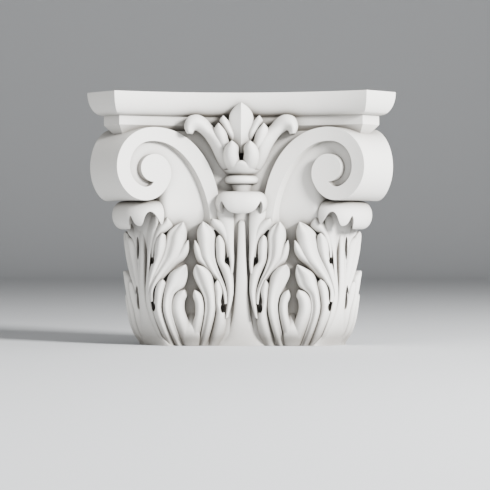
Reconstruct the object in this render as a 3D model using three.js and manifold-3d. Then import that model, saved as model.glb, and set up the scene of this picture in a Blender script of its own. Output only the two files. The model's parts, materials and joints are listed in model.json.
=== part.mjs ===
// Corinthian capital for a pilaster: a half-relief casting in plaster with a flat back.
// Millimetres, +Z up, +X to the right, the underside on z = 0 and the front facing -Y.
// The capital is one piece: abacus, fleuron, corner volutes, bell and two rows of acanthus leaves.
// It is shaped with the flat back on y = 0, where "depth" is the distance forward of the back, so
// y = -depth, and at the end it is moved back by half its depth.

import * as THREE from 'three';
import Module from 'manifold-3d';

const wasm = await Module();
wasm.setup();

// ---------------------------------------------------------------- driving dimensions

const HEIGHT = 241;            // underside to top of the abacus
const NECK_WIDTH = 200;        // width of the pilaster shaft that the capital stands on
const NECK_DEPTH = 28;         // how far the shaft stands out from the wall
const CORNER = NECK_WIDTH / 2 - NECK_DEPTH;   // where the 45 degree mitre plane meets the wall

const HORN_REACH = 84.6;       // abacus horn face, measured out along the mitre from the wall
const HORN_SHARE = 1.08;       // the horn face is pulled in by this share of an inset
const ABACUS_DEPTH = 43.5;     // abacus depth at the middle of its hollow front
const ABACUS_RADIUS = 242;     // radius of the hollow front
const OVOLO_HEIGHT = 20.7;
const OVOLO_INSET = 11.2;      // insets are measured from the top edge of the abacus
const FILLET_INSET = 12.2;
const FILLET_TOP = 219.3;
const FILLET_BOTTOM = 210.3;
const SOFFIT_INSET = 19.4;
const SOFFIT_BOTTOM = 201.7;

const EYE = { out: 44.2, z: 169.4, radius: 13.2 };   // eye of the volute, on the mitre plane
const VOLUTE_RADIUS = 38.6;    // eye to the top of the outer edge
const BAND_WIDTH = 13.2;
const BAND_RELIEF = 6;         // the band stands this far above the field inside it
const FACE_DEPTH = 35.5;       // volute face at the centre line
const FACE_SPREAD = 370;       // the face comes forward by x * x / FACE_SPREAD
const FACE_FOOT = 108;         // the volutes' stalks end here, behind the leaf tips

const LOBE_ROOT = 12;          // how deep the back of a leaf lobe is buried
const LOBE_STEPS = 4;
const LOBE_SIDES = 4;
const SIDE_SQUEEZE = 0.5;      // the half leaf on the flank is drawn in toward the corner stem by this
const SIDE_DROOP = 0.0018;     // and hangs lower, by this share of its height a millimetre from the stem
const STEM_LINE = 97;          // the corner stem's place across the front
const WELD = 0.1;             // slivers thinner than this are closed up after the pieces are joined

// ---------------------------------------------------------------- small tools

const mix = (a, b, t) => a + (b - a) * t;

const smooth = (t) => {
  const s = Math.min(Math.max(t, 0), 1);
  return s * s * (3 - 2 * s);
};

// The lower of two heights with the crease between them rounded over a width of k
const softMin = (a, b, k) => {
  const h = Math.max(k - Math.abs(a - b), 0) / k;
  return Math.min(a, b) - h * h * k * 0.25;
};

// A smooth function through a few [position, value] knots, constant beyond the ends. It runs level
// into its ends, or at its own slope where they are free.
function profile(knots, freeEnds = false) {
  const last = knots.length - 1;
  const chord = (i, j) => (knots[j][1] - knots[i][1]) / (knots[j][0] - knots[i][0]);
  const slope = (j) => {
    if (j > 0 && j < last) return chord(j - 1, j + 1);
    if (!freeEnds) return 0;
    const [end, next] = j === 0 ? [chord(0, 1), 1] : [chord(last - 1, last), last - 1];
    return 1.5 * end - 0.5 * slope(next);
  };
  return (at) => {
    if (at <= knots[0][0]) return knots[0][1];
    if (at >= knots[last][0]) return knots[last][1];
    let i = 0;
    while (at > knots[i + 1][0]) i += 1;
    const width = knots[i + 1][0] - knots[i][0];
    const t = (at - knots[i][0]) / width;
    const rise = knots[i + 1][1] - knots[i][1];
    const a = slope(i) * width - rise;
    const b = rise - slope(i + 1) * width;
    return mix(knots[i][1], knots[i + 1][1], t) + t * (1 - t) * (a * (1 - t) + b * t);
  };
}

// A point given across the front and forward of the back
const front = (x, depth, z) => new THREE.Vector3(x, -depth, z);

// A point given on the right corner: out along the mitre plane, and across it toward the front
const corner = (across, out, z) => front(
  CORNER + (out - across) / Math.SQRT2,
  (out + across) / Math.SQRT2,
  z,
);

// The mirror image of a point in the mitre plane of the right corner
const mitred = (p) => new THREE.Vector3(CORNER - p.y, CORNER - p.x, p.z);

// ---------------------------------------------------------------- closed meshes and booleans

function ringCap(ring) {
  const normal = new THREE.Vector3();
  ring.forEach((p, i) => {
    const q = ring[(i + 1) % ring.length];
    normal.x += (p.y - q.y) * (p.z + q.z);
    normal.y += (p.z - q.z) * (p.x + q.x);
    normal.z += (p.x - q.x) * (p.y + q.y);
  });
  normal.normalize();
  const u = new THREE.Vector3(0, 0, 1);
  if (Math.abs(normal.z) > 0.9) u.set(1, 0, 0);
  u.cross(normal).normalize();
  const v = normal.clone().cross(u);
  const flat = ring.map((p) => new THREE.Vector2(p.dot(u), p.dot(v)));
  return THREE.ShapeUtils.triangulateShape(flat, []);
}

// A closed mesh through rings that all have the same number of points
function loft(rings) {
  const sides = rings[0].length;
  const triangles = [];
  for (let r = 0; r < rings.length - 1; r += 1) {
    for (let i = 0; i < sides; i += 1) {
      const a = r * sides + i;
      const b = r * sides + ((i + 1) % sides);
      triangles.push([a, b, b + sides], [a, b + sides, a + sides]);
    }
  }
  const top = (rings.length - 1) * sides;
  ringCap(rings[0]).forEach(([a, b, c]) => triangles.push([c, b, a]));
  ringCap(rings[rings.length - 1]).forEach(([a, b, c]) => triangles.push([a + top, b + top, c + top]));
  return { points: rings.flat(), triangles };
}

const moved = (mesh, map) => ({ points: mesh.points.map(map), triangles: mesh.triangles });

const flipped = (p) => new THREE.Vector3(-p.x, p.y, p.z);

function solid(mesh) {
  let volume = 0;
  mesh.triangles.forEach(([a, b, c]) => {
    volume += mesh.points[a].dot(mesh.points[b].clone().cross(mesh.points[c]));
  });
  const triangles = volume > 0 ? mesh.triangles : mesh.triangles.map(([a, b, c]) => [c, b, a]);
  return new wasm.Manifold(new wasm.Mesh({
    numProp: 3,
    vertProperties: new Float32Array(mesh.points.flatMap((p) => [p.x, p.y, p.z])),
    triVerts: new Uint32Array(triangles.flat()),
  }));
}

const joined = (meshes) => meshes.map(solid).reduce((a, b) => a.add(b));

function block(size, centre) {
  const box = new THREE.BoxGeometry(...size).toNonIndexed();
  const at = box.getAttribute('position');
  const points = [];
  const triangles = [];
  const seen = new Map();
  for (let i = 0; i < at.count; i += 1) {
    const p = new THREE.Vector3().fromBufferAttribute(at, i);
    const key = p.toArray().join();
    if (!seen.has(key)) {
      seen.set(key, points.length);
      points.push(p.add(new THREE.Vector3(...centre)));
    }
    if (i % 3 === 0) triangles.push([]);
    triangles[triangles.length - 1].push(seen.get(key));
  }
  return solid({ points, triangles });
}

// ---------------------------------------------------------------- abacus

const HORN_POINT = 5;           // the plan's point at the front corner of the horn

// Half the plan of the abacus, from the centre line round the horn to the wall, pulled in by inset
function abacusPlan(inset) {
  const radius = ABACUS_RADIUS + inset;
  const centre = ABACUS_DEPTH + ABACUS_RADIUS;
  const depthAt = (x) => centre - Math.sqrt(radius * radius - x * x);
  const reach = (HORN_REACH - inset * HORN_SHARE) * Math.SQRT2 + CORNER;
  let hornX = 118;
  for (let i = 0; i < 30; i += 1) hornX = reach - depthAt(hornX);
  const wall = depthAt(CORNER);
  const face = [0, 24, 48, CORNER, 96, hornX].map((x) => front(x, depthAt(x), 0));
  return [
    ...face,
    mitred(face[HORN_POINT]),
    mitred(face[HORN_POINT - 1]),
    front(CORNER + wall, 0, 0),
  ];
}

// Depth of the whole capital: the front corner of the horn stands out farthest
const HORN_DEPTH = -abacusPlan(0)[HORN_POINT].y;

function abacus() {
  const levels = [[SOFFIT_BOTTOM, SOFFIT_INSET], [FILLET_BOTTOM, FILLET_INSET], [FILLET_TOP, FILLET_INSET]];
  const steps = 5;
  for (let i = 0; i <= steps; i += 1) {
    const turn = (Math.PI / 2) * (1 - i / steps);
    const z = HEIGHT - 1 - OVOLO_HEIGHT * Math.sin(turn);
    levels.push([z, OVOLO_INSET * (1 - Math.cos(turn))]);
  }
  levels.push([HEIGHT, 0]);
  return loft(levels.map(([z, inset]) => {
    const half = abacusPlan(inset);
    const other = half.slice(1).map(flipped).reverse();
    return [...half, ...other].map((p) => new THREE.Vector3(p.x, p.y, z));
  }));
}

// ---------------------------------------------------------------- bell

const FIELD_DEPTH = FACE_DEPTH - BAND_RELIEF;
const BELL_DEPTH = profile([[0, 24.5], [15, 27], [60, 27], [110, 28], [130, FIELD_DEPTH]]);
const BELL_CORNER = profile([[0, 20], [15, 26], [40, 28.5], [110, 29], [130, 33], [205, 34]]);
const BELL_HOLLOW = profile([[0, 0], [100, 0], [130, 1]]);

function bell() {
  const rings = [0, 8, 20, 45, 80, 105, 130, 205].map((z) => {
    const half = [0, 16, 32, 48, 60, 70, 79].map((x) => {
      const face = BELL_DEPTH(z) + BELL_HOLLOW(z) * x * x / FACE_SPREAD;
      return front(x, softMin(face, BELL_CORNER(z) * Math.SQRT2 - (x - CORNER), 8), z);
    });
    const tip = corner(0, BELL_CORNER(z) - 0.8, z);
    const side = half.slice(5).reverse().map(mitred);
    const right = [...half, tip, ...side.filter((p) => p.y < -0.5)];
    const last = mitred(front(CORNER, BELL_DEPTH(z) + BELL_HOLLOW(z) * CORNER * CORNER / FACE_SPREAD, z));
    right.push(new THREE.Vector3(last.x, 0, z));
    return [...right, ...right.slice(1).map(flipped).reverse()];
  });
  return loft(rings);
}

// ---------------------------------------------------------------- leaf lobes

// Depth of the ground that the leaf lobes rise from, and how far it stands out on the corner
const LEAF_DEPTH = profile([[0, 26], [12, 30.5], [27, 33.5], [50, 34.5], [75, 34], [95, 35.5], [125, 37]]);
const LEAF_CORNER = profile([[0, 22.5], [12, 28], [27, 32], [54, 35.5], [90, 35], [125, 35]]);

const leafGround = (x, z) => softMin(
  LEAF_DEPTH(z),
  (LEAF_CORNER(z) - 2) * Math.SQRT2 - (x - CORNER),
  6,
);

// A swelling lobe between two edges: stations are [edge across, height, edge across, height, lift].
// lean moves the crest from the middle toward the second edge, fold is the depth of a channel at
// foldAt across the lobe, dome is the power of the cross-section, and plump is how far the edges
// fall below the crest, as a share of the half width.
function lobe(shape) {
  const { stations, place = front, ground = leafGround, dome = 1.8, plump = 0.5 } = shape;
  const { lean = 0, fold = 0, foldAt = 0 } = shape;
  const middles = stations.map(([ax, az, bx, bz]) => new THREE.Vector2((ax + bx) / 2, (az + bz) / 2));
  const knots = [0];
  middles.slice(1).forEach((p, i) => knots.push(knots[i] + p.distanceTo(middles[i])));
  const length = knots[knots.length - 1];
  const [ax, az, bx, bz, lift] = [0, 1, 2, 3, 4].map((column) => {
    return profile(stations.map((station, i) => [knots[i], station[column]]), true);
  });
  const rings = [];
  for (let i = 0; i <= LOBE_STEPS; i += 1) {
    const s = length * (1 - (1 - 0.985 * i / LOBE_STEPS) ** 1.6);
    const half = Math.hypot(bx(s) - ax(s), bz(s) - az(s)) / 2;
    const rim = Math.min(plump * half + 0.8, 5.5);
    const tip = Math.max(1 - (length - s) / 3, 0);
    const ring = [];
    for (let j = 0; j <= LOBE_SIDES; j += 1) {
      const t = Math.sin(Math.PI * (j / LOBE_SIDES - 0.5));
      const x = mix(ax(s), bx(s), (1 + t) / 2);
      const z = Math.max(mix(az(s), bz(s), (1 + t) / 2), 0);
      const away = t > lean ? (t - lean) / (1 - lean) : (lean - t) / (1 + lean);
      const channel = fold * Math.exp(-(((t - foldAt) / 0.25) ** 2)) * smooth(half / 4);
      ring.push([x, z, ground(x, z) + lift(s) - rim * away ** dome - 1.2 * tip * tip - channel]);
    }
    const shell = ring.map(([x, z, depth]) => place(x, depth, z));
    const back = [ring[LOBE_SIDES], ring[0]].map(([x, z]) => place(x, ground(x, z) - LOBE_ROOT, z));
    rings.push([...shell, ...back]);
  }
  return loft(rings);
}

// Lobes of the middle leaf, right half
const MIDDLE_LOBES = [
  // lower row: main lobe, finger beside the stem, arm of the cleft lobe
  {
    stations: [
      [42.6, -1, 34, -1, 2], [37.8, 18.4, 28.3, 18.4, 4.5], [35.3, 35, 24.8, 35, 5.5],
      [36, 46, 25, 47.5, 6], [41.2, 57, 26.6, 61, 7], [45.6, 67, 29, 69, 8.5],
      [45.5, 73.5, 35, 75.3, 9.5], [42.8, 78, 42.6, 78, 10],
    ],
    lean: 0.3, fold: 1.2, foldAt: -0.45,
  },
  {
    stations: [
      [33.7, -1, 21, -1, 1], [27.8, 18.4, 15.5, 17.5, 3], [24.6, 33, 15.5, 30, 4],
      [24.6, 41.5, 19.6, 41.5, 4.5], [25.5, 52, 18.3, 52, 5], [26, 59, 20, 59.4, 5],
      [23, 63.5, 22.7, 63.5, 5],
    ],
  },
  {
    stations: [
      [42.8, -1, 48.4, -1, 2.6], [40, 11, 48.6, 11, 4.2], [37.6, 22, 46.8, 21.5, 5.2],
      [36, 33, 44.2, 31, 6], [36.2, 41.5, 44.2, 41, 6.5], [38.8, 50, 46.4, 48, 7],
      [44.6, 54, 44.9, 53.8, 7],
    ],
  },
  // upper row: main lobe, its shoulder, finger beside the stem, small tip under the curl
  {
    stations: [
      [16.4, 40, 13.5, 41, 2.5], [18.4, 53, 14.2, 52, 3], [23.7, 64, 17.3, 62, 3.5],
      [31, 72, 22.3, 74, 4.5], [38.3, 83, 25.1, 85, 5.5], [41, 94, 25.5, 96, 6.5],
      [42.4, 104, 25, 106, 7], [41.5, 112, 29, 113.5, 7], [36.6, 119, 36.2, 119, 6.5],
    ],
    fold: 1.6, foldAt: 0.45, lean: -0.1,
  },
  {
    stations: [
      [24, 62, 19, 64, 1], [35.5, 74, 29, 77.5, 3], [42.1, 81, 35.5, 85.7, 4],
      [45.3, 92, 39, 94, 5], [44.5, 101.5, 44.1, 101.3, 5],
    ],
  },
  {
    stations: [
      [16, 26, 12.5, 28, 2.5], [13.6, 48, 8.1, 48, 3], [15.5, 61, 7.7, 61, 3.2],
      [19.6, 72, 9.4, 73, 3.6], [23.3, 81, 15.5, 81, 4], [24.4, 90, 15.6, 90, 4.6],
      [24.6, 99, 16.2, 98.4, 5], [23.5, 104, 18.7, 104, 5], [21.3, 106, 20.9, 106, 5],
    ],
  },
  {
    stations: [
      [13.7, 84, 11, 88, 1], [17, 100, 11, 101, 2], [23, 109, 12.8, 112, 3.5],
      [29, 115.5, 18, 119, 5], [27.7, 122, 27.3, 122, 5],
    ],
  },
  {
    stations: [
      [11.2, 68, 8.2, 70, 2], [11.4, 81, 7.2, 81, 2.8], [14.5, 95, 7.4, 95, 2.6],
      [19, 110, 7.2, 110, 2.6], [23, 124, 7, 124, 4], [22, 136, 8, 136, 4],
    ],
    plump: 0.2,
  },
];

// Lobes of the corner leaf, the half in front of the mitre plane
const CORNER_LOBES = [
  // lower row: main lobe, finger beside the stem, arm of the cleft lobe
  {
    stations: [
      [63, -1, 55.2, -1, 2], [70.5, 18.4, 62.3, 18.4, 4.5], [74.9, 35, 66, 35, 5.5],
      [74.2, 48.5, 64, 49.5, 6], [71.9, 61, 55.1, 56.5, 7], [67.8, 70, 51.6, 66.5, 8.5],
      [59.2, 75.5, 51.6, 73, 9.5], [53.2, 78, 52.8, 77.8, 10],
    ],
    lean: -0.3, fold: 1.2, foldAt: 0.45,
  },
  {
    stations: [
      [71.6, -1, 63, -1, 1], [80.3, 19.4, 70.5, 19.4, 3], [84.8, 34, 75.1, 35, 4],
      [83.2, 45, 75.1, 45, 4.5], [82.3, 54, 73.3, 54, 5], [79.6, 60.7, 72, 60.3, 5],
      [75.5, 64, 75.1, 64, 5],
    ],
  },
  {
    stations: [
      [55.1, -1, 48, -1, 2.6], [61, 13, 47.8, 12, 4.2], [65.1, 24, 50, 22, 5.2],
      [66.8, 35, 54.2, 34.5, 6], [65.5, 45, 54, 43.5, 6.5], [61, 51.6, 52.2, 48.4, 7],
      [54.4, 54, 54, 53.8, 7],
    ],
  },
  // upper row: main lobe, its shoulder, finger beside the stem, small tip under the curl
  {
    stations: [
      [88.3, 42, 83.7, 43, 2.5], [88.1, 55, 83.5, 55, 3], [85.1, 66, 77.3, 63, 3.5],
      [80.1, 76, 69.2, 72.5, 4.5], [75.1, 88.5, 60, 81, 5.5], [72.8, 99, 53.8, 94, 6.5],
      [70.5, 108, 52.3, 105, 7], [63.7, 114.5, 52.3, 111, 7], [55.2, 118.8, 54.8, 118.6, 6.5],
    ],
    fold: 1.6, foldAt: -0.45, lean: 0.1,
  },
  {
    stations: [
      [81, 66, 75, 63.5, 1], [71, 80, 61.9, 76.5, 3], [62.5, 88.5, 54.6, 83, 4],
      [57, 95, 50.3, 91, 5], [50.8, 101.3, 50.4, 101, 5],
    ],
  },
  {
    stations: [
      [91.4, 46, 88.5, 46, 2], [91.2, 54, 87.5, 54, 2.5], [89.6, 65, 84.5, 64, 3],
      [86.9, 76.6, 79.2, 75.7, 3.6], [83.5, 85, 75.1, 85, 4], [83, 94, 72.3, 94, 5.2],
      [81, 102, 71.9, 103, 6], [77.8, 106.3, 72.8, 106.3, 6.5], [75.6, 108, 75.2, 108, 6.5],
    ],
  },
  {
    stations: [
      [86, 78, 83.5, 84, 1], [86.4, 94, 81.9, 96, 2], [83.7, 107.5, 76.4, 106, 3.5],
      [80.1, 115.7, 69.2, 111, 5], [75.5, 121, 65.5, 115.5, 5], [70.6, 123, 70.2, 123, 5],
    ],
  },
  {
    stations: [
      [77.3, -1, 71.4, -1, 0.5], [86, 20, 80.1, 19.4, 1.5], [91.2, 37.5, 85, 35, 2],
      [92.3, 53, 88, 52, 2], [91, 71, 88, 68.4, 2], [90.5, 88.4, 86.7, 88.4, 2],
      [91, 103, 82.5, 103, 2.4], [91.5, 114, 79.2, 114, 3.5], [91.5, 126, 80, 126, 4],
    ],
    plump: 0.25,
  },
];

// The cleft lobe below its hollow, where both its arms meet
const CLEFT_LOBE = {
  stations: [
    [41.5, -1, 54.5, -1, 3], [40, 9, 56.5, 9, 4.6], [41, 15, 55, 15, 4.4], [42.5, 19, 53.5, 19, 2.8],
    [43.5, 23, 52.5, 23, 0], [44, 28, 52, 28, -4], [44.5, 34, 51.5, 34, -9],
  ],
  plump: 0.05,
};

// A lobe of the corner leaf as it is drawn on the narrow flank
function sideLobe(shape) {
  const across = (x) => STEM_LINE - (STEM_LINE - x) * SIDE_SQUEEZE;
  const height = (x, z) => z * (1 - SIDE_DROOP * (STEM_LINE - x));
  const stations = shape.stations.map(([ax, az, bx, bz, lift]) => {
    return [across(ax), height(ax, az), across(bx), height(bx, bz), lift];
  });
  return { ...shape, stations };
}

// ---------------------------------------------------------------- stems

const STEM_DEPTH = profile([[0, 27.5], [30, 31.5], [60, 34.5], [120, 36.5]]);

// [height, half width] up each stem
const MIDDLE_STEM = [
  [-3, 26], [6, 16.5], [22, 10.5], [34, 8.2], [55, 6], [80, 4.6], [100, 3.8], [120.4, 3.2],
];
const CORNER_STEM = [
  [-3, 24], [7, 18], [15, 13], [24, 9], [39, 5], [57, 4], [76, 3.4], [94, 3], [115.4, 2.8],
];

function stem(widths, place, ground) {
  const stations = widths.map(([z, half]) => [-half, z, half, z, 0]);
  return lobe({ stations, place, ground, dome: 2.4, plump: 0.12 });
}

// ---------------------------------------------------------------- curled leaf tops

// The top of a leaf rolls outward round a rounded plan. tips gives how far down the lip comes, in
// degrees round the roll, at each turn of the plan: 0 is the tongue, -90 and 90 the leaf's sides.
function curl({ place, from, wide, forward, top, drop, roll, tips, thick = 4.5, turns = 18, steps = 3 }) {
  const tipAt = profile(tips);
  const centre = top - drop;
  const rings = [];
  for (let i = 0; i <= turns; i += 1) {
    const turn = 180 * (i / turns - 0.5);
    const a = THREE.MathUtils.degToRad(turn);
    const along = Math.sign(a) * Math.abs(Math.sin(a)) ** 0.85;
    const out = Math.abs(Math.cos(a)) ** 0.85;
    const normal = new THREE.Vector2(Math.sin(a) * forward, Math.cos(a) * wide).normalize();
    const last = tipAt(turn);
    const point = (reach, z) => place(
      along * wide + normal.x * reach,
      from + out * forward + normal.y * reach,
      z,
    );
    const ring = [point(-roll - 4, top - 5.5), point(-roll - 4, top - 1)];
    for (let j = 0; j <= steps; j += 1) {
      const angle = THREE.MathUtils.degToRad(mix(110, last, j / steps));
      ring.push(point(roll * Math.cos(angle), centre + drop * Math.sin(angle)));
    }
    for (let j = steps; j >= 0; j -= 1) {
      const angle = THREE.MathUtils.degToRad(mix(110, last + 4, j / steps));
      ring.push(point((roll - thick) * Math.cos(angle), centre + (drop - thick) * Math.sin(angle)));
    }
    rings.push(ring);
  }
  return loft(rings);
}

const CORNER_CURL = {
  place: corner,
  from: 33,
  wide: 21,
  forward: 15,
  top: 138.8,
  drop: 13.6,
  roll: 10.5,
  tips: [
    [-90, -40], [-76, -30], [-66, -8], [-60, -20], [-52, -66], [-40, -80], [0, -84], [8, -80], [15, -64],
    [24, -2], [34, -46], [41, -46], [57, 10], [68, 4], [90, -40],
  ],
};

const MIDDLE_CURL = {
  place: front,
  from: 36,
  wide: 16,
  forward: 9,
  top: 147.4,
  drop: 11,
  roll: 9,
  tips: [
    [-90, -88], [-76, -80], [-66, -45], [-52, 8], [-34, -40], [0, -66],
    [34, -40], [52, 8], [66, -45], [76, -80], [90, -88],
  ],
};

// Solid behind a curled top, narrowing downward into the leaf
function leafBack({ place, from, wide, forward, top }, foot, footOut) {
  const rings = [];
  for (let i = 0; i <= 3; i += 1) {
    const s = i / 3;
    const z = mix(foot, top - 2, s);
    const width = wide * mix(0.8, 1, s);
    const ahead = mix(footOut, from + forward - 6, s);
    const ring = [];
    for (let j = 0; j <= 6; j += 1) {
      const a = Math.PI * (j / 6 - 0.5);
      ring.push(place(width * Math.sin(a), ahead - wide * 0.35 * (1 - Math.cos(a)), z));
    }
    ring.push(place(wide * 0.8, 8, z), place(-wide * 0.8, 8, z));
    rings.push(ring);
  }
  return loft(rings);
}

// ---------------------------------------------------------------- corner volutes

const volutePoint = (turn, radius) => [EYE.out + radius * Math.sin(turn), EYE.z + radius * Math.cos(turn)];

// Radii of the band's edges by turns from straight up, as shares of the volute radius
const OUTER_EDGE = profile([
  [0, 1], [0.1, 0.988], [0.2, 0.97], [0.27, 0.957], [0.33, 0.932], [0.4, 0.893], [0.45, 0.834],
  [0.5, 0.748], [0.54, 0.655], [0.6, 0.524], [0.68, 0.422], [0.74, 0.376], [0.82, 0.342], [1, 0.342],
]);
const INNER_EDGE = profile([
  [0, 0.66], [0.06, 0.672], [0.12, 0.662], [0.2, 0.635], [0.3, 0.606], [0.39, 0.554],
  [0.43, 0.513], [0.47, 0.425], [0.49, 0.342],
]);

const outerRadius = (turn) => VOLUTE_RADIUS * OUTER_EDGE(turn / (2 * Math.PI));
const innerRadius = (turn) => Math.max(VOLUTE_RADIUS * INNER_EDGE(turn / (2 * Math.PI)), EYE.radius);

function sweep(from, to, steps, radius) {
  const points = [];
  for (let i = 0; i <= steps; i += 1) {
    const turn = mix(from, to, i / steps);
    points.push(volutePoint(turn, radius(turn)));
  }
  return points;
}

function bezier(points, steps) {
  const [a, b, c, d] = points.map(([x, z]) => new THREE.Vector2(x, z));
  const curve = new THREE.CubicBezierCurve(a, b, c, d);
  return curve.getPoints(steps).map((p) => [p.x, p.y]);
}

// Edges of the stalk that runs from the top of the volute down behind the leaves
const STALK_OUTER = [[EYE.out, EYE.z + VOLUTE_RADIUS], [2.5, 208], [-12.4, 159.3], [-10.5, FACE_FOOT + 8]];
const STALK_INNER = [
  [EYE.out, EYE.z + VOLUTE_RADIUS - BAND_WIDTH], [12, 194.8], [-5.2, 143], [-3.2, FACE_FOOT],
];

// A prism across the mitre plane over an outline given out along the plane and up
function acrossMitre(outline, reach) {
  return loft([-reach, reach].map((v) => outline.map(([out, z]) => corner(v, out, z))));
}

// A slab over the plan of the two volute faces, which meet the mitre plane at the corner
function facePlan(setBack) {
  const half = [-30, 0, 15, 30, 45, 60, 75, 90, 105, 120].map((x) => {
    return front(x, FACE_DEPTH - setBack + x * x / FACE_SPREAD, 0);
  });
  const outline = [...half, ...half.map(mitred).reverse()];
  return loft([FACE_FOOT - 4, 215].map((z) => outline.map((p) => new THREE.Vector3(p.x, p.y, z))));
}

function cornerVolute() {
  const outline = [
    ...bezier(STALK_OUTER, 8).reverse().slice(0, -1),
    ...sweep(0, Math.PI, 14, outerRadius),
    ...sweep(Math.PI * 1.1, Math.PI * 1.5, 4, outerRadius),
    [12, 150],
    [-3.2, FACE_FOOT],
  ];
  const band = [
    ...bezier(STALK_OUTER, 8).reverse().slice(0, -1),
    ...sweep(0, Math.PI * 2, 26, outerRadius),
    ...sweep(Math.PI * 2, Math.PI * 2.98, 10, () => EYE.radius).slice(1),
    ...sweep(0, Math.PI * 0.97, 12, innerRadius).reverse(),
    ...bezier(STALK_INNER, 8).slice(1),
  ];
  const field = solid(acrossMitre(outline, 90)).intersect(solid(facePlan(BAND_RELIEF)));
  const raised = solid(acrossMitre(band, 90)).intersect(solid(facePlan(0)));
  return field.add(raised);
}

// ---------------------------------------------------------------- fleuron

// A turned shape on the centre line: [height, radius] levels round an axis at the given depth
function turned(levels, axisDepth) {
  return loft(levels.map(([z, radius]) => {
    const ring = [];
    for (let i = 0; i < 14; i += 1) {
      const a = (2 * Math.PI * i) / 14;
      ring.push(front(radius * Math.cos(a), axisDepth + radius * Math.sin(a), z));
    }
    return ring;
  }));
}

const flowerGround = (x, z) => 31 + 13 * smooth((z - 160) / 45);

const FLOWER_PETALS = [
  // outer petal that ends in a ball
  {
    stations: [
      [13, 162, 1, 164, 3], [19.5, 170, 4, 173, 6], [24.5, 180, 8, 184, 8],
      [28.8, 189.5, 13, 195, 8], [34, 197.5, 20, 204, 6.5], [38, 202, 27.5, 209.5, 6.5],
      [41.6, 204.6, 33, 216, 8], [43.4, 205.4, 41, 220, 10], [44.4, 204.8, 50, 218, 11],
      [45.2, 203.4, 53.8, 209.5, 11], [46.4, 201.8, 51.4, 202, 10],
    ],
    plump: 0.6,
  },
  // its inner leaflet
  {
    stations: [
      [12, 176, 4, 178, -2], [19, 188, 9, 188, 8], [24, 199, 12, 196, 9],
      [25.6, 206, 14.5, 204, 8.5], [21.6, 212, 21.2, 212, 8],
    ],
    plump: 0.4,
  },
  // side lobe of the palmette
  {
    stations: [
      [9, 188, 3, 190, -2], [12.4, 201, 7, 202, 6], [18, 209.5, 10, 210, 6],
      [20.4, 214.5, 12.2, 214.5, 6], [17.4, 219, 16.6, 219, 6],
    ],
    plump: 0.4,
  },
  // half of the bud
  {
    stations: [
      [7, 164, -1, 168, 9], [13.4, 169, 0, 172, 14], [16.4, 176, 1.6, 177, 17.5],
      [16.8, 183.5, 2.6, 183, 18], [14.6, 190, 2.8, 190, 16.5], [9, 195, 8.2, 195, 15],
    ],
    plump: 0.75, dome: 2.2,
  },
];

// Foot of the bud, that joins its halves under the slot
const BUD_FOOT = {
  stations: [
    [-9, 163, 9, 163, 9], [-12.4, 167, 12.4, 167, 13.4], [-12, 171, 12, 171, 16],
    [-7, 174.5, 7, 174.5, 17], [-3, 176.6, 3, 176.6, 16],
  ],
  dome: 2.2,
};

const PALMETTE = {
  stations: [
    [-6, 184, 6, 184, 7], [-10.5, 204, 10.5, 204, 8], [-11.8, 213, 11.8, 213, 8.4],
    [-10.6, 221, 10.6, 221, 8.2], [-6.6, 227, 6.6, 227, 7.6], [-0.3, 231.5, 0.3, 231.5, 7],
  ],
  dome: 1,
};

function fleuron() {
  const petals = FLOWER_PETALS.map((petal) => lobe({ ...petal, ground: flowerGround }));
  return [
    lobe({ ...PALMETTE, ground: flowerGround }),
    lobe({ ...BUD_FOOT, ground: flowerGround }),
    ...petals,
    ...petals.map((petal) => moved(petal, flipped)),
    turned([[143, 9], [150, 8.6], [154, 10]], 31),
    turned([[154.7, 13], [156.5, 16.2], [160.7, 16.2], [162.5, 13]], 31),
    turned([[162, 5], [163.2, 12], [167, 17], [168.6, 18]], 28),
  ];
}

// ---------------------------------------------------------------- the capital

function capital() {
  const right = [
    ...MIDDLE_LOBES.map(lobe),
    ...CORNER_LOBES.map(lobe),
    lobe(CLEFT_LOBE),
    ...CORNER_LOBES.map((shape) => moved(lobe(sideLobe(shape)), mitred)),
    stem(CORNER_STEM, corner, (x, z) => LEAF_CORNER(z)),
    curl(CORNER_CURL),
    leafBack(CORNER_CURL, 84, 28),
  ];
  const middle = [
    bell(),
    abacus(),
    stem(MIDDLE_STEM, front, (x, z) => STEM_DEPTH(z)),
    curl(MIDDLE_CURL),
    leafBack(MIDDLE_CURL, 76, 26),
    ...fleuron(),
  ];
  const volute = cornerVolute();
  const envelope = block([400, 120, HEIGHT], [0, -60, HEIGHT / 2]);
  const whole = joined([...middle, ...right, ...right.map((mesh) => moved(mesh, flipped))])
    .add(volute)
    .add(volute.mirror([1, 0, 0]))
    .intersect(envelope)
    .simplify(WELD);
  // The outer skin alone: pockets closed in between overlapping lobes are filled
  return whole.decompose().reduce((a, b) => (a.volume() > b.volume() ? a : b));
}

function geometryOf(manifold) {
  const mesh = manifold.getMesh();
  const geometry = new THREE.BufferGeometry();
  geometry.setAttribute('position', new THREE.BufferAttribute(mesh.vertProperties, 3));
  geometry.setIndex(new THREE.BufferAttribute(mesh.triVerts, 1));
  geometry.computeVertexNormals();
  return geometry;
}

const plaster = new THREE.MeshStandardMaterial({ color: 0xe4e2dd, roughness: 0.75, metalness: 0 });
const piece = new THREE.Mesh(geometryOf(capital()), plaster);
piece.name = 'capital';
piece.position.y = HORN_DEPTH / 2;

const group = new THREE.Group();
group.add(piece);

export default group;
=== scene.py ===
"""Corinthian pilaster capital in cast gypsum plaster, built as one casting in its plain studio."""

import json
import math
from types import SimpleNamespace

import bmesh
import bpy
import numpy as np
from mathutils import Matrix, Vector

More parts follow.
